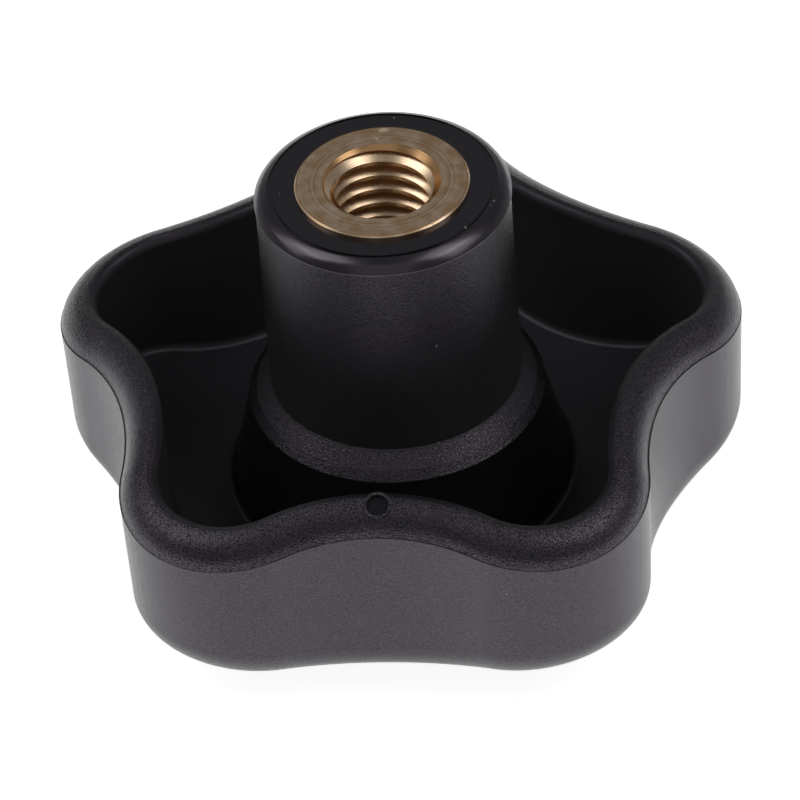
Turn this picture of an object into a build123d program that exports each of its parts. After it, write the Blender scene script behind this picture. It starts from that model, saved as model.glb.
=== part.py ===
from build123d import *
import math
import os

# Five-lobed star knob, moulded in glass-filled nylon around a threaded brass insert.
# The origin lies on the thread's axis, at the insert's end face, which a clamped part bears on.
# +Z points out of the thread's mouth, and the knob lies below, standing on its domed crown.
# All lengths are in millimetres, and all angles in degrees.

# --- grip outline, seen along the axis -------------------------------------------------
knob_dia = 63.0          # circle that touches the lobes
lobe_count = 5
lobe_r = 10.5            # radius of each lobe's nose
valley_depth = 6.6       # the hollow between two lobes reaches this far inside that circle

# --- heights along the axis ------------------------------------------------------------
insert_proud = 0.45      # the brass stands this far above the plastic of the boss
overall_h = 38.0         # insert face to the flat land in the middle of the crown
parting_down = 15.65     # insert face down to the parting surface, on the axis
parting_dome_r = 103.4   # the parting surface and the rim follow this sphere
crown_dome_r = 90.0      # the crown's outer sphere
crown_land_r = 7.0       # radius of that land, which the knob stands on

# --- shell -----------------------------------------------------------------------------
crown_thk = 4.6          # crown wall
crown_edge_r = 3.9       # round between the side wall and the crown
wall_draft = 1.2         # draft of the outer wall
core_inset = 3.5         # wall at the parting level, from the outline in to the hollow
core_draft = 1.0         # draft of the inner wall
floor_fillet = 0.65      # inside corner between the wall and the floor
rim_rise = 1.75          # crest of the rim above the parting surface
rim_crest_in = 3.2       # centre of the outer round, measured in from the outline
rim_outer_r = 3.2        # outer round of the rim, cut off by the parting line
rim_inner_r = 0.75       # inner round of the rim
parting_step = 0.07      # mismatch of the two mould halves
parting_lap = 1.0        # the rim's solid runs this far down inside the wall

# --- boss ------------------------------------------------------------------------------
boss_face_r = 9.5        # flat end face
boss_ring_w = 0.45       # narrow sunk ring around that face
boss_ring_depth = 0.12
boss_bevel_h = 0.9       # height of the smooth bevel
boss_bevel_bulge = 0.14  # how far the bevel swells past a straight cone
boss_lip_w = 0.1         # the bevel ends on a lip that stands this far past the side
boss_lip_h = 0.15
boss_top_r = 11.0        # side of the boss, below the lip
boss_foot_r = 11.12
boss_foot_down = 20.9    # insert face to the foot of the straight side
collar_r = 13.1          # foot of the cone below it
collar_down = 23.0       # insert face to the foot of that cone
post_flare = 13.0        # the post below the cone widens downwards by this angle
post_fillet = 0.5        # inside corner between the post and the floor

# --- stub of the broken gate, on the rim -----------------------------------------------
gate_dia = 2.4
gate_in = 1.8            # its centre, measured in from the bottom of the valley
gate_tilt = 26.0         # its axis leans outwards by this angle
gate_lift = 0.1          # its end stands this far above the rim
gate_pit_dia = 1.9       # the pit that the gate left as it broke away
gate_pit_depth = 0.3

# --- brass insert, M10 x 1.5 -----------------------------------------------------------
insert_dia = 15.1
insert_len = 22.0
insert_edge = 0.15       # turned edge break
groove_dia = 12.9        # retaining groove, filled by the plastic
groove_w = 3.0
groove_down = 11.0       # insert face to the middle of the groove
insert_gap = 0.0         # the body is moulded on the brass, so they touch
thread_minor = 8.376     # crest of the internal thread
mouth_dia = 10.26        # countersink at the mouth, 90 degrees
bore_depth = 18.5        # to the end of the straight wall
drill_angle = 118.0      # point angle of the drilled bottom

overshoot = 1.0          # a cutter runs this far past the face it enters

# --- derived ---------------------------------------------------------------------------
crown_z = -overall_h
boss_face_z = -insert_proud
crown_centre_z = crown_z + math.sqrt(crown_dome_r**2 - crown_land_r**2)
parting_centre_z = -parting_down - parting_dome_r
lobe_axis = knob_dia / 2 - lobe_r
valley_dist = knob_dia / 2 - valley_depth
half_step = math.pi / lobe_count


def dome_level(r, rise=0.0):
    """Height of the parting surface, or of a dome that lies rise above it, at distance r."""
    return parting_centre_z + math.sqrt((parting_dome_r + rise) ** 2 - r**2)


def valley_radius():
    """Radius of the hollow that runs tangent into both of its lobes."""
    pull = lobe_axis * math.cos(half_step)
    spread = lobe_r**2 - valley_dist**2 - lobe_axis**2 + 2 * valley_dist * pull
    return spread / (2 * (valley_dist - pull - lobe_r))


split_z = dome_level((knob_dia / 2 + valley_dist) / 2)   # the outline has its full size here
valley_axis = valley_dist + valley_radius()


def polar(r, angle):
    return (r * math.cos(angle), r * math.sin(angle))


def flank_point(inset, lobe, side):
    """Where a lobe's arc meets the arc of the hollow on the given side, -1 or +1."""
    cx, cy = polar(lobe_axis, lobe)
    vx, vy = polar(valley_axis, lobe + side * half_step)
    dx, dy = polar(lobe_r - inset, math.atan2(vy - cy, vx - cx))
    return (cx + dx, cy + dy)


def star_face(inset, z):
    """The grip outline, shrunk by inset, as a flat face at height z."""
    edges = []
    for k in range(lobe_count):
        lobe = math.pi / 2 + 2 * half_step * k
        start = flank_point(inset, lobe, -1)
        tip = polar(knob_dia / 2 - inset, lobe)
        end = flank_point(inset, lobe, 1)
        hollow = polar(valley_dist - inset, lobe + half_step)
        next_start = flank_point(inset, lobe + 2 * half_step, -1)
        edges.append(ThreePointArc(start, tip, end))
        edges.append(ThreePointArc(end, hollow, next_start))
    return Pos(0, 0, z) * make_face(edges)


def ball(r, centre_z):
    """A sphere whose seam lies level with its centre, away from the knob."""
    return Pos(0, 0, centre_z) * Rot(90, 0, 0) * Sphere(r)


def lowest_face(solid):
    return min(solid.faces(), key=lambda face: face.bounding_box().min.Z)


def crest_face(solid):
    return max(solid.faces(), key=lambda face: face.bounding_box().max.Z)


def star_block(inset, draft):
    """Tall star-shaped block: straight above the split level, drafted below it."""
    flat = star_face(inset, split_z)
    down = extrude(flat, amount=overall_h, dir=(0, 0, -1), taper=draft)
    return down + extrude(flat, amount=overall_h)


def lower_half():
    """Cavity half of the mould: drafted side wall, domed crown with its land, rounded edge."""
    block = star_block(0, wall_draft) & ball(crown_dome_r, crown_centre_z)
    block = fillet(lowest_face(block).edges(), crown_edge_r)
    block = block & ball(parting_dome_r, parting_centre_z)
    return block - Pos(0, 0, crown_z - overshoot / 2) * Cylinder(crown_land_r + overshoot, overshoot)


def upper_half():
    """Core half of the mould: the domed rim with its large outer round, cut off at the side."""
    swell = rim_outer_r - rim_crest_in
    base_z = split_z - overall_h / 2
    block = extrude(star_face(-swell, base_z), amount=overall_h)
    block = block & ball(parting_dome_r + rim_rise, parting_centre_z)
    block = fillet(crest_face(block).edges(), rim_outer_r)
    block = block & extrude(star_face(parting_step, base_z), amount=overall_h)
    return block - ball(parting_dome_r - parting_lap, parting_centre_z)


def core_cavity():
    """The hollow underside: drafted inner wall, domed floor, fillet between them."""
    cavity = star_block(core_inset, core_draft) & ball(crown_dome_r - crown_thk, crown_centre_z)
    return fillet(lowest_face(cavity).edges(), floor_fillet)


def grip_shell():
    """Both halves joined, hollowed by the core, and rounded along the rim's inner edge."""
    shell = lower_half() + upper_half() - core_cavity()
    return fillet(crest_face(shell).inner_wires()[0].edges(), rim_inner_r)


def post_radius(z):
    """Radius of the flared post that carries the boss, below the collar."""
    return collar_r + (-collar_down - z) * math.tan(math.radians(post_flare))


def boss_profile():
    """Half section of the boss, from the axis outwards."""
    ring_r = boss_face_r + boss_ring_w
    ring_z = boss_face_z - boss_ring_depth
    lip_r = boss_top_r + boss_lip_w
    bevel_z = boss_face_z - boss_bevel_h
    side_z = bevel_z - boss_lip_h - boss_lip_w
    root_z = crown_z + crown_thk / 2
    mid = ((ring_r + lip_r) / 2, (boss_face_z + bevel_z) / 2)
    slope = math.atan2(lip_r - ring_r, boss_bevel_h)
    swell = (boss_bevel_bulge * math.cos(slope), boss_bevel_bulge * math.sin(slope))
    with BuildLine(Plane.XZ) as line:
        Polyline((0, root_z), (0, boss_face_z), (boss_face_r, boss_face_z), (boss_face_r, ring_z))
        Polyline((boss_face_r, ring_z), (ring_r, ring_z), (ring_r, boss_face_z))
        bevel_top = (mid[0] + swell[0], mid[1] + swell[1])
        ThreePointArc((ring_r, boss_face_z), bevel_top, (lip_r, bevel_z))
        Polyline((lip_r, bevel_z), (lip_r, bevel_z - boss_lip_h), (boss_top_r, side_z))
        Polyline((boss_top_r, side_z), (boss_foot_r, -boss_foot_down), (collar_r, -collar_down))
        Polyline((collar_r, -collar_down), (post_radius(root_z), root_z), (0, root_z))
    return make_face(line.edges())


def insert_blank(grow=0.0):
    """The insert's outside before boring, grown by a gap on every side but its end face."""
    r = insert_dia / 2 + grow
    waist = groove_dia / 2 + grow
    top = -groove_down + groove_w / 2 - grow
    low = -groove_down - groove_w / 2 + grow
    end = -insert_len - grow
    points = [(0, 0), (r - insert_edge, 0), (r, -insert_edge), (r, top), (waist, top)]
    points += [(waist, low), (r, low), (r, end + insert_edge), (r - insert_edge, end), (0, end)]
    return revolve(make_face(Plane.XZ * Polyline(*points, close=True)), Axis.Z)


def bore():
    """Blind hole: countersunk mouth, plain wall at the thread's crest, drilled point."""
    r = thread_minor / 2
    mouth = mouth_dia / 2
    point_z = -bore_depth - r / math.tan(math.radians(drill_angle / 2))
    points = [(0, overshoot), (mouth + overshoot, overshoot), (r, r - mouth)]
    points += [(r, -bore_depth), (0, point_z)]
    return revolve(make_face(Plane.XZ * Polyline(*points, close=True)), Axis.Z)


def rim_level(inset):
    """Height of the rim's outer round in the middle of a valley, this far inside the outline."""
    axis_z = dome_level(valley_dist - rim_crest_in, rim_rise - rim_outer_r)
    return axis_z + math.sqrt(rim_outer_r**2 - (rim_crest_in - inset) ** 2)


def gate_place():
    """Middle of the gate's stub on the rim's surface, in the valley that faces -Y."""
    return Pos(0, gate_in - valley_dist, rim_level(gate_in)) * Rot(gate_tilt, 0, 0)


def gate_stub():
    root = gate_dia / 3
    stub = Cylinder(gate_dia / 2, gate_lift + root)
    return gate_place() * Pos(0, 0, (gate_lift - root) / 2) * stub


def gate_pit():
    pit = Cylinder(gate_pit_dia / 2, gate_pit_depth + overshoot)
    return gate_place() * Pos(0, 0, gate_lift + (overshoot - gate_pit_depth) / 2) * pit


def knob_body():
    shell = grip_shell()
    boss = revolve(boss_profile(), Axis.Z)
    body = shell + boss
    body = fillet(new_edges(shell, boss, combined=body), post_fillet)
    return body + gate_stub() - gate_pit() - insert_blank(insert_gap)


def threaded_insert():
    return insert_blank() - bore()


os.makedirs("parts", exist_ok=True)
export_step(knob_body(), "parts/knob_body.step")
export_step(threaded_insert(), "parts/threaded_insert.step")
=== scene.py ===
# %% [markdown]
# # A star knob, dressed
# The knob is moulded in black glass-filled nylon around a turned brass insert with an M10 thread.
# It lies upside down on its domed crown, so the hollow underside and the threaded boss face up.
# The moulding comes from the CAD frame as it is and gets its finish here. The insert is made again,
# because its solid has a plain bore and the real one has a helical thread.

# %% Load the frame
import math
import bmesh
import bpy
from mathutils import Matrix, Vector


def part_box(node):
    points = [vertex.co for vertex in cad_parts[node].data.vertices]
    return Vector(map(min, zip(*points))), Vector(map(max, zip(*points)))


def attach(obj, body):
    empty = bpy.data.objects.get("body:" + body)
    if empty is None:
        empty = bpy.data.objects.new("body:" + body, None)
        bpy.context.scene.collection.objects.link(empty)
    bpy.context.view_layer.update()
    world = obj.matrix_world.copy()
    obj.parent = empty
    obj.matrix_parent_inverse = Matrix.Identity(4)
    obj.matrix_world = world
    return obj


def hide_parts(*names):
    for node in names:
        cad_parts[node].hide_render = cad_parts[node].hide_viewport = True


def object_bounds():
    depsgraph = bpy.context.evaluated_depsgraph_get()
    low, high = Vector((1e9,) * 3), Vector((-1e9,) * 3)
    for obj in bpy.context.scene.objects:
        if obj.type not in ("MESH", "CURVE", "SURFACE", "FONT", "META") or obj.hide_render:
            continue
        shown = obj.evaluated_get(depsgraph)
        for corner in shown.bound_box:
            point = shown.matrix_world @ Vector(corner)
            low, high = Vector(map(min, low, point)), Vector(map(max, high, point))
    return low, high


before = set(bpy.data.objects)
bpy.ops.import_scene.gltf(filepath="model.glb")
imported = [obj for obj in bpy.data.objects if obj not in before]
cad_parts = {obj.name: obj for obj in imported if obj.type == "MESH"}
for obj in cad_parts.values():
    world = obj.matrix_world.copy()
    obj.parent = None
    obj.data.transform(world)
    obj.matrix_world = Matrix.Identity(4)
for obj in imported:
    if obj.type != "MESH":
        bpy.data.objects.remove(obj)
cad_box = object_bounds()
print("CAD nodes:", sorted(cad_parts))

# %% [markdown]
# ## Units and colours
# The frame is in metres, and a small turned part is thought of in millimetres, so one factor turns
# them. Blender's shaders work on linear light, while a colour is usually picked as an sRGB hex
# value, so one function turns the hex value to linear.

# %% Units and colours
MM = 0.001


def linear(hex_colour):
    """Linear RGBA of an sRGB hex colour such as "1b1a1c"."""
    channels = [int(hex_colour[i:i + 2], 16) / 255 for i in (0, 2, 4)]
    return [c / 12.92 if c <= 0.04045 else ((c + 0.055) / 1.055) ** 2.4 for c in channels] + [1.0]


# %% [markdown]
# ## The camera
# A long lens from about 45 cm keeps the lobes nearly parallel. The camera stands 41 degrees above
# the table, a little to the right of the front valley, and is rolled by 4.35 degrees, so the
# knob's right side sits higher. Three vectors give its axes: where it looks, its right and its up.

# %% Place the camera
CAMERA_POS = Vector((36.25, -339.22, 272.48)) * MM
CAMERA_AIM = Vector((0.42, -2.67, -22.64)) * MM
CAMERA_ROLL = math.radians(-4.35)
FOCAL_MM = 229.28

look = (CAMERA_AIM - CAMERA_POS).normalized()
camera = bpy.data.objects.new("camera", bpy.data.cameras.new("camera"))
camera.data.lens = FOCAL_MM
camera.data.sensor_width = 36
camera.matrix_world = (Matrix.Translation(CAMERA_POS)
                       @ look.to_track_quat("-Z", "Y").to_matrix().to_4x4()
                       @ Matrix.Rotation(CAMERA_ROLL, 4, "Z"))
bpy.context.scene.collection.objects.link(camera)
bpy.context.scene.camera = camera
print("camera stands", round((CAMERA_AIM - CAMERA_POS).length / MM), "mm away")

# %% [markdown]
# ## Adding shader nodes
# Every material below is a small network of nodes. One helper adds a node, sets its properties
# and links or fills its inputs, so that each material reads as a list of steps.

# %% A helper for nodes


def add_node(tree, kind, inputs=None, **settings):
    """Adds a node. An input is given by name or number, as a value or as another node's output."""
    node = tree.nodes.new(kind)
    for name, value in settings.items():
        setattr(node, name, value)
    for key, value in (inputs or {}).items():
        if isinstance(value, bpy.types.NodeSocket):
            tree.links.new(value, node.inputs[key])
        else:
            node.inputs[key].default_value = value
    return node


def new_material(name):
    """An empty material, and the tree to build it in."""
    material = bpy.data.materials.new(name)
    material.use_nodes = True
    material.node_tree.nodes.clear()
    return material, material.node_tree


# %% [markdown]
# ## Small marks
# A handled part carries specks, nicks and burrs. Each one is a round spot at a place on the
# surface, so its mask is the distance to that place, turned to 1 inside and 0 outside. A bitmap
# could hold them too, but it would need unwrapping, and a few distances don't.

# %% A helper for marks


def mark_mask(tree, coordinates, marks_mm):
    """One mask for a list of round marks, each given as x, y, z and radius in millimetres."""
    mask = None
    for x, y, z, radius in marks_mm:
        away = add_node(tree, "ShaderNodeVectorMath",
                        {0: coordinates, 1: Vector((x, y, z)) * MM}, operation="DISTANCE")
        mark = add_node(tree, "ShaderNodeMapRange",
                        {0: away.outputs["Value"], 1: radius * MM, 2: radius * MM / 2})
        if mask is not None:
            mark = add_node(tree, "ShaderNodeMath", {0: mask, 1: mark.outputs[0]},
                            operation="MAXIMUM")
        mask = mark.outputs[0]
    print("marks:", len(marks_mm))
    return mask


# %% [markdown]
# ## The thread
# The real thread is cut by a tap: one profile, one pitch high, that climbs by one pitch in each
# turn. bmesh's spin does just that when it is given an offset for each step. An M10 x 1.5
# internal thread has a crest at 8.376 mm diameter and a root at 10 mm, with 60 degree flanks.
# A bump texture would not do here, because the flanks are seen from the side and hide each other.

# %% Spin the thread
PITCH = 1.5 * MM
CREST_R = 4.188 * MM
ROOT_R = 5.0 * MM
CREST_FLAT = PITCH / 4
ROOT_FLAT = PITCH / 8
STEPS_PER_TURN = 96
TURNS = 15
BORE_END_Z = -18.5 * MM
THREAD_END_Z = -17.2 * MM
MOUTH_R = 5.13 * MM

flank = (PITCH - CREST_FLAT - ROOT_FLAT) / 2
profile = [(CREST_R, 0), (CREST_R, CREST_FLAT), (ROOT_R, CREST_FLAT + flank),
           (ROOT_R, CREST_FLAT + flank + ROOT_FLAT), (CREST_R, PITCH)]
start_z = BORE_END_Z - 2 * PITCH

bm = bmesh.new()
line = [bm.verts.new((r, 0, start_z + z)) for r, z in profile]
edges = [bm.edges.new(pair) for pair in zip(line, line[1:])]
bmesh.ops.subdivide_edges(bm, edges=edges, cuts=3)
bmesh.ops.spin(bm, geom=bm.verts[:] + bm.edges[:], cent=(0, 0, 0), axis=(0, 0, 1),
               dvec=(0, 0, PITCH / STEPS_PER_TURN), angle=TURNS * 2 * math.pi,
               steps=TURNS * STEPS_PER_TURN)
bmesh.ops.remove_doubles(bm, verts=bm.verts[:], dist=0.002 * MM)
print("thread:", len(bm.faces), "faces in", TURNS, "turns")

# %% [markdown]
# ## The countersunk mouth and the blind end
# The mouth is a 90 degree cone that cuts through the thread. A plane can cut a mesh and a cone
# can't, so the mesh is sheared until the cone is a flat plane, cut there, and sheared back. What is
# left inside the cone is then pushed out onto it. Below the last full turn the bore is plain.

# %% Cut the mouth and trim the ends


def shear(bm, amount):
    """Lifts each point by amount times its distance from the axis."""
    for vert in bm.verts:
        vert.co.z += amount * vert.co.xy.length


def cut(bm, z, **clear):
    geometry = bm.verts[:] + bm.edges[:] + bm.faces[:]
    bmesh.ops.bisect_plane(bm, geom=geometry, plane_co=(0, 0, z), plane_no=(0, 0, 1), **clear)


cut(bm, 0, clear_outer=True)
cut(bm, THREAD_END_Z)
cut(bm, BORE_END_Z, clear_inner=True)
shear(bm, -1)
cut(bm, -MOUTH_R)
shear(bm, 1)
for vert in bm.verts:
    r = vert.co.xy.length
    wanted = max(r, MOUTH_R + vert.co.z)
    if vert.co.z < THREAD_END_Z:
        wanted = CREST_R
    vert.co.xy *= wanted / r
bmesh.ops.dissolve_degenerate(bm, dist=0.001 * MM, edges=bm.edges[:])
top_z = max(vert.co.z for vert in bm.verts)
print("mouth at z", round(top_z / MM, 3), "mm")

# %% [markdown]
# ## The outside of the insert
# The outside is turned: an end face and a fine edge break are seen, and the retaining groove that
# the nylon fills and the plain end below it follow usual practice. Each step extrudes the last ring
# of edges and scales it to the next radius, which keeps one closed skin from thread to outside.

# %% Grow the outside from the mouth
INSERT_LOW, INSERT_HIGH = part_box("threaded_insert")
INSERT_R = INSERT_HIGH.x
EDGE_BREAK = 0.15 * MM
GROOVE_R = 6.45 * MM
GROOVE_TOP = -9.5 * MM
GROOVE_END = -12.5 * MM
DRILL_HALF_ANGLE = math.radians(59)
DRILL_TIP_Z = BORE_END_Z - CREST_R / math.tan(DRILL_HALF_ANGLE)
SHARP_ANGLE = math.radians(22)


def grow_ring(bm, ring, radius, z):
    """Extrudes a ring of edges round the axis to another radius and height."""
    made = bmesh.ops.extrude_edge_only(bm, edges=ring)["geom"]
    for vert in made:
        if isinstance(vert, bmesh.types.BMVert):
            vert.co.xy *= radius / vert.co.xy.length
            vert.co.z = z
    return [edge for edge in made if isinstance(edge, bmesh.types.BMEdge) and edge.is_boundary]


def open_ring(bm, z):
    """The open edges that lie at height z."""
    return [e for e in bm.edges if e.is_boundary and all(abs(v.co.z - z) < 1e-6 for v in e.verts)]


outside = [(5.9 * MM, 0), (6.7 * MM, 0), (INSERT_R - EDGE_BREAK, 0), (INSERT_R, -EDGE_BREAK),
           (INSERT_R, GROOVE_TOP), (GROOVE_R, GROOVE_TOP), (GROOVE_R, GROOVE_END),
           (INSERT_R, GROOVE_END), (INSERT_R, INSERT_LOW.z + EDGE_BREAK),
           (INSERT_R - EDGE_BREAK, INSERT_LOW.z), (1 * MM, INSERT_LOW.z)]
ring = open_ring(bm, 0)
for radius, z in outside:
    ring = grow_ring(bm, ring, radius, z)
bmesh.ops.pointmerge(bm, verts=list({v for e in ring for v in e.verts}),
                     merge_co=(0, 0, INSERT_LOW.z))
tip = grow_ring(bm, open_ring(bm, BORE_END_Z), 0.5 * MM, DRILL_TIP_Z)
bmesh.ops.pointmerge(bm, verts=list({v for e in tip for v in e.verts}),
                     merge_co=(0, 0, DRILL_TIP_Z))
bmesh.ops.dissolve_degenerate(bm, dist=0.001 * MM, edges=bm.edges[:])
bmesh.ops.recalc_face_normals(bm, faces=bm.faces[:])
for face in bm.faces:
    face.smooth = True
for edge in bm.edges:
    edge.smooth = edge.calc_face_angle(0) < SHARP_ANGLE
open_edges = sum(edge.is_boundary for edge in bm.edges)
print("insert:", len(bm.faces), "faces,", open_edges, "open edges")

# %% [markdown]
# The finished mesh becomes an object that takes the place of the CAD insert. It sits at the origin,
# unturned and unscaled, because its place is already in its mesh, and it rides on the same body.

# %% Store the insert
mesh = bpy.data.meshes.new("insert_with_thread")
bm.to_mesh(mesh)
bm.free()
insert = bpy.data.objects.new("insert_with_thread", mesh)
bpy.context.scene.collection.objects.link(insert)
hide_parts("threaded_insert")
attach(insert, "root")
print(insert.name, "replaces threaded_insert")

# %% [markdown]
# ## Black glass-filled nylon
# Such a grip is usually injection moulded in black glass-filled nylon. A spark-eroded mould prints
# a fine matte grain, which the outside shows, while the hollow and the boss's end are smooth.
# Separate materials would need the faces to be split by hand. One material can find its zones
# from the place and the facing of the surface, so the grain ends where the smooth faces begin.

# %% Zones of the moulding
nylon, tree = new_material("glass_filled_nylon_moulded")
BOSS_BEVEL_END = -1.42 * MM
BOSS_SIDE_R = 11.3 * MM
COLLAR_R = 12.4 * MM
FLOOR_TOP = -23.1 * MM

place = add_node(tree, "ShaderNodeTexCoord")
spot = add_node(tree, "ShaderNodeSeparateXYZ", {0: place.outputs["Object"]})
flat = add_node(tree, "ShaderNodeCombineXYZ", {0: spot.outputs[0], 1: spot.outputs[1]})
from_axis = add_node(tree, "ShaderNodeVectorMath", {0: flat.outputs[0]}, operation="LENGTH")
outward = add_node(tree, "ShaderNodeVectorMath", {0: flat.outputs[0]}, operation="NORMALIZE")
surface = add_node(tree, "ShaderNodeNewGeometry")
facing = add_node(tree, "ShaderNodeVectorMath",
                  {0: surface.outputs["Normal"], 1: outward.outputs[0]}, operation="DOT_PRODUCT")
normal = add_node(tree, "ShaderNodeSeparateXYZ", {0: surface.outputs["Normal"]})

inner_wall = add_node(tree, "ShaderNodeMapRange", {0: facing.outputs["Value"], 1: -0.05, 2: -0.3})
is_low = add_node(tree, "ShaderNodeMath", {0: spot.outputs[2], 1: FLOOR_TOP}, operation="LESS_THAN")
is_up = add_node(tree, "ShaderNodeMath", {0: normal.outputs[2], 1: 0.3}, operation="GREATER_THAN")
floor_zone = add_node(tree, "ShaderNodeMath", {0: is_low.outputs[0], 1: is_up.outputs[0]},
                      operation="MULTIPLY")
hollow = add_node(tree, "ShaderNodeMath", {0: inner_wall.outputs[0], 1: floor_zone.outputs[0]},
                  operation="MAXIMUM")
boss_end = add_node(tree, "ShaderNodeMath", {0: spot.outputs[2], 1: BOSS_BEVEL_END},
                    operation="GREATER_THAN")
boss_side = add_node(tree, "ShaderNodeMath", {0: from_axis.outputs["Value"], 1: BOSS_SIDE_R},
                     operation="LESS_THAN")
smooth_zone = add_node(tree, "ShaderNodeMath", {0: hollow.outputs[0], 1: boss_end.outputs[0]},
                       operation="MAXIMUM")
print("the zones take", len(tree.nodes), "nodes")

# %% [markdown]
# How fine the real grain is isn't known. It is drawn at 0.15 mm, as coarse as it needs to show, and
# an eroded grain is often finer. The noise lifts the surface through a bump, because real
# displacement at that size would need millions of faces. The same noise also varies the strength
# of the reflection, more on the rim, the collar and the boss's side than on the walls, so that the
# grain shows there too. The amounts are values chosen for the look.

# %% Grain of the moulding
GRAIN_MM = 0.15
FLOW_MM = 6
GRAIN_DEPTH = 0.06 * MM
BUMP_GRAINED, BUMP_SMOOTH = 0.9, 0.06
CONTRAST_WALL, CONTRAST_RIM, CONTRAST_BOSS_SIDE = 0.8, 2.1, 1.2

grain = add_node(tree, "ShaderNodeTexNoise",
                 {"Vector": place.outputs["Object"], "Scale": 1 / (GRAIN_MM * MM),
                  "Detail": 2.0, "Roughness": 0.6})
flow = add_node(tree, "ShaderNodeTexNoise",
                {"Vector": place.outputs["Object"], "Scale": 1 / (FLOW_MM * MM), "Detail": 2.0})
bump_strength = add_node(tree, "ShaderNodeMapRange",
                         {0: smooth_zone.outputs[0], 3: BUMP_GRAINED, 4: BUMP_SMOOTH})
bump = add_node(tree, "ShaderNodeBump",
                {"Strength": bump_strength.outputs[0], "Distance": GRAIN_DEPTH,
                 "Height": grain.outputs[0]})
by_slope = add_node(tree, "ShaderNodeMapRange",
                    {0: normal.outputs[2], 1: 0.1, 2: 0.35, 3: CONTRAST_WALL, 4: CONTRAST_RIM})
on_side = add_node(tree, "ShaderNodeMath", {0: boss_side.outputs[0], 1: CONTRAST_BOSS_SIDE},
                   operation="MULTIPLY")
contrast = add_node(tree, "ShaderNodeMath", {0: by_slope.outputs[0], 1: on_side.outputs[0]},
                    operation="MAXIMUM")
centred = add_node(tree, "ShaderNodeMath", {0: 0.5, 1: grain.outputs[0]}, operation="SUBTRACT")
sparkle = add_node(tree, "ShaderNodeMath",
                   {0: centred.outputs[0], 1: contrast.outputs[0], 2: 0.5},
                   operation="MULTIPLY_ADD", use_clamp=True)
print("grain", GRAIN_MM, "mm, flow marks", FLOW_MM, "mm")

# %% [markdown]
# Gloss has two parts: how strongly the surface reflects and how rough it is. The hollow and the
# boss's side reflect less than the outside, the boss's bevel reflects most, and the hollow is
# the roughest. A broad, weak noise varies the gloss, as a moulded face is seldom quite even. All
# these amounts are chosen for the look.

# %% Gloss of the moulding
SPECULAR_PLAIN = 0.5
INSIDE_SHARE = 0.66
SPECULAR_BEVEL = 0.72
ROUGH_OUTSIDE = (0.20, 0.26)
ROUGH_HOLLOW = 0.42
ROUGH_BOSS_END = 0.22
LEVEL_FACE = 0.93

specular = add_node(tree, "ShaderNodeMix",
                    {0: smooth_zone.outputs[0], 2: sparkle.outputs[0], 3: SPECULAR_PLAIN},
                    data_type="FLOAT")
sheltered = add_node(tree, "ShaderNodeMath", {0: boss_side.outputs[0], 1: hollow.outputs[0]},
                     operation="MAXIMUM")
less = add_node(tree, "ShaderNodeMapRange",
                {0: sheltered.outputs[0], 3: 1.0, 4: INSIDE_SHARE})
dimmed = add_node(tree, "ShaderNodeMath", {0: specular.outputs[0], 1: less.outputs[0]},
                  operation="MULTIPLY")
level = add_node(tree, "ShaderNodeMath", {0: normal.outputs[2], 1: LEVEL_FACE},
                 operation="GREATER_THAN")
end_shine = add_node(tree, "ShaderNodeMapRange",
                     {0: level.outputs[0], 3: SPECULAR_BEVEL, 4: SPECULAR_PLAIN})
zone_specular = add_node(tree, "ShaderNodeMix",
                         {0: boss_end.outputs[0], 2: dimmed.outputs[0], 3: end_shine.outputs[0]},
                         data_type="FLOAT")
matte = add_node(tree, "ShaderNodeMapRange",
                 {0: flow.outputs[0], 3: ROUGH_OUTSIDE[0], 4: ROUGH_OUTSIDE[1]})
inside = add_node(tree, "ShaderNodeMix",
                  {0: hollow.outputs[0], 2: matte.outputs[0], 3: ROUGH_HOLLOW},
                  data_type="FLOAT")
gloss = add_node(tree, "ShaderNodeMix",
                 {0: boss_end.outputs[0], 2: inside.outputs[0], 3: ROUGH_BOSS_END},
                 data_type="FLOAT")
print("roughness outside", ROUGH_OUTSIDE, "hollow", ROUGH_HOLLOW, "boss end", ROUGH_BOSS_END)

# %% [markdown]
# The plastic is nearly black, and the boss's end looks blackest. Deep in the hollow the walls and
# the boss's foot get a lighter colour, which is painted light, because in one black they would melt
# into the shadow. It isn't known that the real plastic is lighter there: the colours are values
# chosen for the look. They are mixed by depth and by how steep the surface is.

# %% Colour of the moulding
PAINTED_LIGHT_FROM = -6 * MM
PAINTED_LIGHT_FULL = -20 * MM

outer_tone = add_node(tree, "ShaderNodeMix",
                      {0: flow.outputs[0], 6: linear("161517"), 7: linear("1c1a1d")},
                      data_type="RGBA")
deep = add_node(tree, "ShaderNodeMapRange", {0: spot.outputs[2], 1: PAINTED_LIGHT_FROM, 2: PAINTED_LIGHT_FULL})
near_boss = add_node(tree, "ShaderNodeMath", {0: from_axis.outputs["Value"], 1: COLLAR_R},
                     operation="LESS_THAN")
sunk = add_node(tree, "ShaderNodeMath", {0: near_boss.outputs[0], 1: inner_wall.outputs[0]},
                operation="MAXIMUM")
depth_share = add_node(tree, "ShaderNodeMath", {0: deep.outputs[0], 1: sunk.outputs[0]},
                       operation="MULTIPLY")
steep = add_node(tree, "ShaderNodeMapRange", {0: normal.outputs[2], 1: 0.97, 2: 0.5})
# Painted light: deep, steep faces of the hollow and the boss's foot get the paler colour.
lighter = add_node(tree, "ShaderNodeMath", {0: depth_share.outputs[0], 1: steep.outputs[0]},
                   operation="MULTIPLY")
tone_with_painted_light = add_node(tree, "ShaderNodeMix",
                     {0: lighter.outputs[0], 6: outer_tone.outputs[2], 7: linear("3a373a")},
                     data_type="RGBA")
tone = add_node(tree, "ShaderNodeMix",
                {0: boss_end.outputs[0], 6: tone_with_painted_light.outputs[2], 7: linear("0e0d0e")},
                data_type="RGBA")
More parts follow.
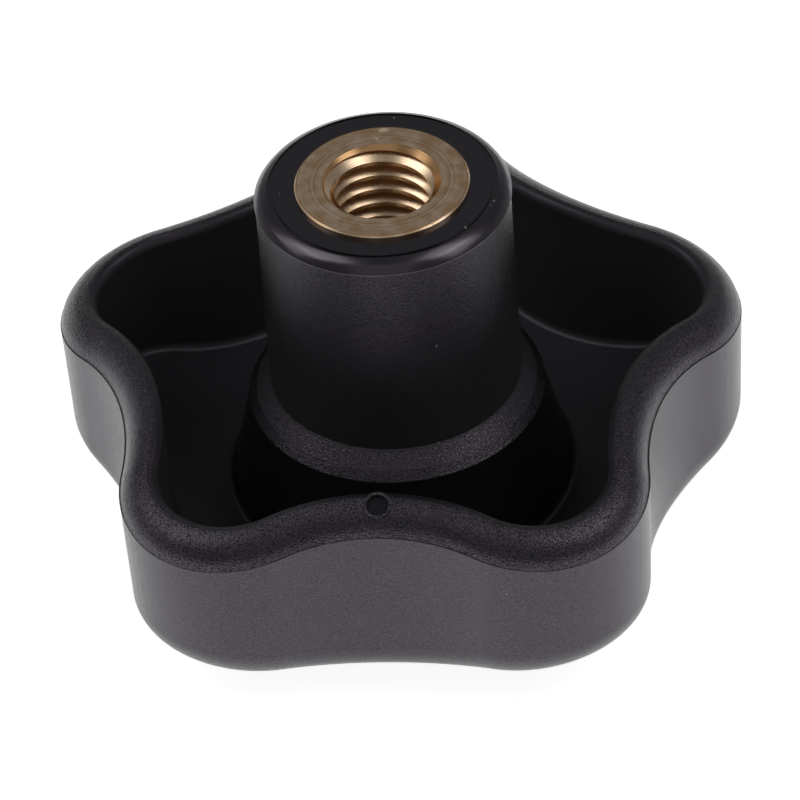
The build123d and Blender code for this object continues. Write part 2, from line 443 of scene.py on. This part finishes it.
print("lighter from", round(PAINTED_LIGHT_FROM / MM), "to", round(PAINTED_LIGHT_FULL / MM), "mm")

# %% [markdown]
# The gate is where the melt entered the mould. A gate that breaks off leaves a rough pit, so its
# bottom hardly reflects. A few specks and nicks finish the surface. The IOR is a little above a
# nylon's usual 1.53, and the reflection has a slight violet tint. Both are chosen for the look.

# %% The torn gate, the specks and the shader
GATE = Vector((0, -23.1, -16.56)) * MM
GATE_TORN_R = 0.9 * MM
GATE_EDGE_R = 1.02 * MM
TORN_SPECULAR = 0.12
PLASTIC_IOR = 1.62
REFLECTION_TINT = (1.0, 0.90, 1.04, 1.0)
SPECKS_MM = [(0.49, 9.26, -0.45, 0.11), (9.67, -2.24, -0.5, 0.16), (7.44, -5.82, -0.5, 0.16),
             (9.45, -2.75, -0.5, 0.12), (-8.74, -1.06, -0.45, 0.08), (-0.11, -11.0, -1.5, 0.12),
             (4.65, -9.97, -10.1, 0.12), (10.8, -27.3, -22.9, 0.14), (10.9, -27.8, -26.5, 0.12)]

to_gate = add_node(tree, "ShaderNodeVectorMath", {0: place.outputs["Object"], 1: GATE},
                   operation="DISTANCE")
torn = add_node(tree, "ShaderNodeMapRange",
                {0: to_gate.outputs["Value"], 1: GATE_EDGE_R, 2: GATE_TORN_R})
specks = mark_mask(tree, place.outputs["Object"], SPECKS_MM)
specked = add_node(tree, "ShaderNodeMix", {0: specks, 6: tone.outputs[2], 7: linear("8a8588")},
                   data_type="RGBA")
spec_level = add_node(tree, "ShaderNodeMix",
                      {0: torn.outputs[0], 2: zone_specular.outputs[0], 3: TORN_SPECULAR},
                      data_type="FLOAT")
skin = add_node(tree, "ShaderNodeBsdfPrincipled",
                {"Base Color": specked.outputs[2], "Roughness": gloss.outputs[0],
                 "IOR": PLASTIC_IOR, "Specular IOR Level": spec_level.outputs[0],
                 "Specular Tint": REFLECTION_TINT, "Normal": bump.outputs[0]})
add_node(tree, "ShaderNodeOutputMaterial", {0: skin.outputs[0]})

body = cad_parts["knob_body"]
body.data.materials.clear()
body.data.materials.append(nylon)
print(nylon.name, "has", len(tree.nodes), "nodes")

# %% [markdown]
# ## Turned brass
# The insert looks like bare free-machining brass, with the fine rings that a lathe tool leaves on
# an end face. The rings are a one-dimensional noise read from the distance to the axis, so they
# stay perfectly concentric, as real ones do. A finishing feed is usually finer than 0.22 mm, and
# they are drawn this coarse so that they show. A second noise breaks them into arcs and makes the
# metal patchy, as tarnish does. The colours are paler than brass's usual ones, for the look.

# %% Rings and tarnish
brass, tree = new_material("turned_brass")
RING_MM = 0.22
TARNISH_MM = 1.5

place = add_node(tree, "ShaderNodeTexCoord")
spot = add_node(tree, "ShaderNodeSeparateXYZ", {0: place.outputs["Object"]})
flat = add_node(tree, "ShaderNodeCombineXYZ", {0: spot.outputs[0], 1: spot.outputs[1]})
from_axis = add_node(tree, "ShaderNodeVectorMath", {0: flat.outputs[0]}, operation="LENGTH")
rings = add_node(tree, "ShaderNodeTexNoise",
                 {"W": from_axis.outputs["Value"], "Scale": 1 / (RING_MM * MM), "Detail": 3.0},
                 noise_dimensions="1D")
tarnish = add_node(tree, "ShaderNodeTexNoise",
                   {"Vector": place.outputs["Object"], "Scale": 1 / (TARNISH_MM * MM),
                    "Detail": 3.0})
patches = add_node(tree, "ShaderNodeMapRange", {0: tarnish.outputs[0], 1: 0.4, 2: 0.6})
broken = add_node(tree, "ShaderNodeMath", {0: rings.outputs[0], 1: tarnish.outputs[0]},
                  operation="ADD")
arcs = add_node(tree, "ShaderNodeMapRange", {0: broken.outputs[0], 1: 0.7, 2: 1.3})
bright = add_node(tree, "ShaderNodeMix",
                  {0: patches.outputs[0], 6: linear("f4d2ac"), 7: linear("ffe6cc")},
                  data_type="RGBA")
lines = add_node(tree, "ShaderNodeMix",
                 {0: arcs.outputs[0], 6: linear("c9a37b"), 7: bright.outputs[2]},
                 data_type="RGBA")
print("rings", RING_MM, "mm, tarnish", TARNISH_MM, "mm")

# %% [markdown]
# The cone of the mouth gets a deeper colour than the end face, which is painted shade, and the bore
# a paler one, which is painted light, so that its turns don't sink into the dark. Both are values
# chosen for the look, and neither is known of the real metal. The zones are found by height, radius
# and tilt.

# %% Countersink and bore
MOUTH_FADE_Z = (-1.0 * MM, -0.94 * MM)
INNER_R = 5.2 * MM
BORE_START_Z = -0.3 * MM
CONE_TILT = 0.85

surface = add_node(tree, "ShaderNodeNewGeometry")
normal = add_node(tree, "ShaderNodeSeparateXYZ", {0: surface.outputs["Normal"]})
near_mouth = add_node(tree, "ShaderNodeMapRange",
                      {0: spot.outputs[2], 1: MOUTH_FADE_Z[0], 2: MOUTH_FADE_Z[1]})
tilted = add_node(tree, "ShaderNodeMath", {0: normal.outputs[2], 1: CONE_TILT},
                  operation="LESS_THAN")
inner = add_node(tree, "ShaderNodeMath", {0: from_axis.outputs["Value"], 1: INNER_R},
                 operation="LESS_THAN")
cone = add_node(tree, "ShaderNodeMath", {0: near_mouth.outputs[0], 1: tilted.outputs[0]},
                operation="MULTIPLY")
mouth = add_node(tree, "ShaderNodeMath", {0: cone.outputs[0], 1: inner.outputs[0]},
                 operation="MULTIPLY")
in_bore = add_node(tree, "ShaderNodeMath", {0: spot.outputs[2], 1: BORE_START_Z},
                   operation="LESS_THAN")
bore = add_node(tree, "ShaderNodeMath", {0: in_bore.outputs[0], 1: inner.outputs[0]},
                operation="MULTIPLY")
# Painted light: the bore gets a paler colour.
tone_with_painted_bore_light = add_node(tree, "ShaderNodeMix",
                    {0: bore.outputs[0], 6: lines.outputs[2], 7: linear("fadcb8")},
                    data_type="RGBA")
# Painted shade: the cone of the mouth gets a deeper colour.
tone = add_node(tree, "ShaderNodeMix",
                {0: mouth.outputs[0], 6: tone_with_painted_bore_light.outputs[2], 7: linear("d0a474")},
                data_type="RGBA")
print("bore from", round(BORE_START_Z / MM, 1), "mm down")

# %% [markdown]
# The insert's edge carries a few burrs and its face a few knocks. A real metal is metallic all
# over, but a burr scatters light where the turned face mirrors it. Its tiny shape would need its
# own mesh, so a lower metallic value imitates the scatter.

# %% Burrs, knocks and the shader
BURRS_MM = [(-0.23, 7.02, 0, 0.42), (-0.5, 6.95, 0, 0.25), (-0.76, 5.78, 0, 0.2),
            (-5.31, -5.46, 0, 0.16), (-1.44, -7.5, 0, 0.2), (0.85, -7.55, 0, 0.16),
            (4.66, -5.85, 0, 0.2), (6.35, -3.95, 0, 0.14), (-3.6, -6.6, 0, 0.14)]
BURR_METALLIC = 0.45
RING_DEPTH = 0.015 * MM
ROUGH_LINES, ROUGH_BRIGHT = 0.30, 0.22

burrs = mark_mask(tree, place.outputs["Object"], BURRS_MM)
metal = add_node(tree, "ShaderNodeMapRange", {0: burrs, 3: 1.0, 4: BURR_METALLIC})
rough = add_node(tree, "ShaderNodeMapRange",
                 {0: arcs.outputs[0], 3: ROUGH_LINES, 4: ROUGH_BRIGHT})
bump = add_node(tree, "ShaderNodeBump",
                {"Strength": 0.6, "Distance": RING_DEPTH, "Height": rings.outputs[0]})
skin = add_node(tree, "ShaderNodeBsdfPrincipled",
                {"Base Color": tone.outputs[2], "Metallic": metal.outputs[0],
                 "Roughness": rough.outputs[0], "Normal": bump.outputs[0]})
add_node(tree, "ShaderNodeOutputMaterial", {0: skin.outputs[0]})
insert.data.materials.append(brass)
print(brass.name, "has", len(tree.nodes), "nodes")

# %% [markdown]
# ## The table
# The knob lies on a pale table that is brighter than the room. The lamps here are dim, and alone
# they would leave the table grey. So its material adds light of its own, for camera rays and
# mirror rays only, and most of the table's white comes from that. The knob is lit by none of it
# directly, but its gloss shows it, and the knob's shadow on the table comes out faint.
# The table lies a hair below the crown's flat, so that the two faces don't fight.

# %% Table
TABLE_HALF = 0.9
TABLE_GAP = 0.01 * MM
TABLE_LIFT = 0.87
MIRRORED_SHARE = 0.87

bm = bmesh.new()
bmesh.ops.create_grid(bm, x_segments=2, y_segments=2, size=TABLE_HALF)
bmesh.ops.translate(bm, verts=bm.verts[:], vec=(0, 0, cad_box[0][2] - TABLE_GAP))
mesh = bpy.data.meshes.new("table")
bm.to_mesh(mesh)
bm.free()
table = bpy.data.objects.new("table", mesh)
bpy.context.scene.collection.objects.link(table)

paper, tree = new_material("white_table")
path = add_node(tree, "ShaderNodeLightPath")
mirrored = add_node(tree, "ShaderNodeMath",
                    {0: path.outputs["Is Glossy Ray"], 1: MIRRORED_SHARE}, operation="MULTIPLY")
seen = add_node(tree, "ShaderNodeMath",
                {0: path.outputs["Is Camera Ray"], 1: mirrored.outputs[0]}, operation="MAXIMUM")
lift = add_node(tree, "ShaderNodeMath", {0: seen.outputs[0], 1: TABLE_LIFT}, operation="MULTIPLY")
glow = add_node(tree, "ShaderNodeEmission", {"Color": (1, 1, 1, 1), "Strength": lift.outputs[0]})
cover = add_node(tree, "ShaderNodeBsdfDiffuse", {"Color": linear("f2f2f2")})
both = add_node(tree, "ShaderNodeAddShader", {0: cover.outputs[0], 1: glow.outputs[0]})
add_node(tree, "ShaderNodeOutputMaterial", {0: both.outputs[0]})
mesh.materials.append(paper)
print("table", round(2 * TABLE_HALF, 2), "m wide")

# %% [markdown]
# ## Lamps
# A glossy black part is seen by what it reflects, so the six lamps are soft squares. Two stand at
# each side, one above the other, and a broad weak one stands in front and another behind. Point
# lamps would show as hard dots in the gloss.

# %% Soft lamps


def soft_light(name, azimuth, elevation, distance, size, watts):
    """A square soft light that points at the knob from the given direction."""
    lamp = bpy.data.lights.new(name, "AREA")
    lamp.shape = "SQUARE"
    lamp.size = size
    lamp.energy = watts
    a, e = math.radians(azimuth), math.radians(elevation)
    direction = Vector((math.sin(a) * math.cos(e), -math.cos(a) * math.cos(e), math.sin(e)))
    holder = bpy.data.objects.new(name, lamp)
    holder.location = direction * distance
    holder.rotation_euler = direction.to_track_quat("Z", "Y").to_euler()
    bpy.context.scene.collection.objects.link(holder)
    print(name, "at", azimuth, "degrees round,", elevation, "up")


soft_light("light_left", -92, 42, 0.7, 0.35, 0.45)
soft_light("light_right", 80, 46, 0.7, 0.35, 0.5)
soft_light("light_front", 0, 52, 0.9, 0.7, 0.33)
soft_light("light_back", 180, 40, 0.9, 0.9, 0.15)
soft_light("light_over_left", -86, 61, 0.7, 0.3, 0.45)
soft_light("light_over_right", 86, 61, 0.7, 0.3, 0.45)

# %% [markdown]
# ## The room
# The world stands in for a room with pale walls and a darker ceiling. One strength all round would
# light the top of the rim as much as the walls, so the strength falls from the horizon upwards.

# %% Room
WALL_STRENGTH = 0.28
CEILING_STRENGTH = 0.14

room = bpy.data.worlds.new("room")
room.use_nodes = True
room.node_tree.nodes.clear()
sky = add_node(room.node_tree, "ShaderNodeTexCoord")
height = add_node(room.node_tree, "ShaderNodeSeparateXYZ", {0: sky.outputs["Generated"]})
wall = add_node(room.node_tree, "ShaderNodeMapRange",
                {0: height.outputs[2], 1: 0.1, 2: 0.5, 3: WALL_STRENGTH, 4: CEILING_STRENGTH})
air = add_node(room.node_tree, "ShaderNodeBackground",
               {"Color": (1, 1, 1, 1), "Strength": wall.outputs[0]})
add_node(room.node_tree, "ShaderNodeOutputWorld", {0: air.outputs[0]})
bpy.context.scene.world = room
bpy.context.scene.view_settings.view_transform = "Standard"
print("room from", WALL_STRENGTH, "to", CEILING_STRENGTH)
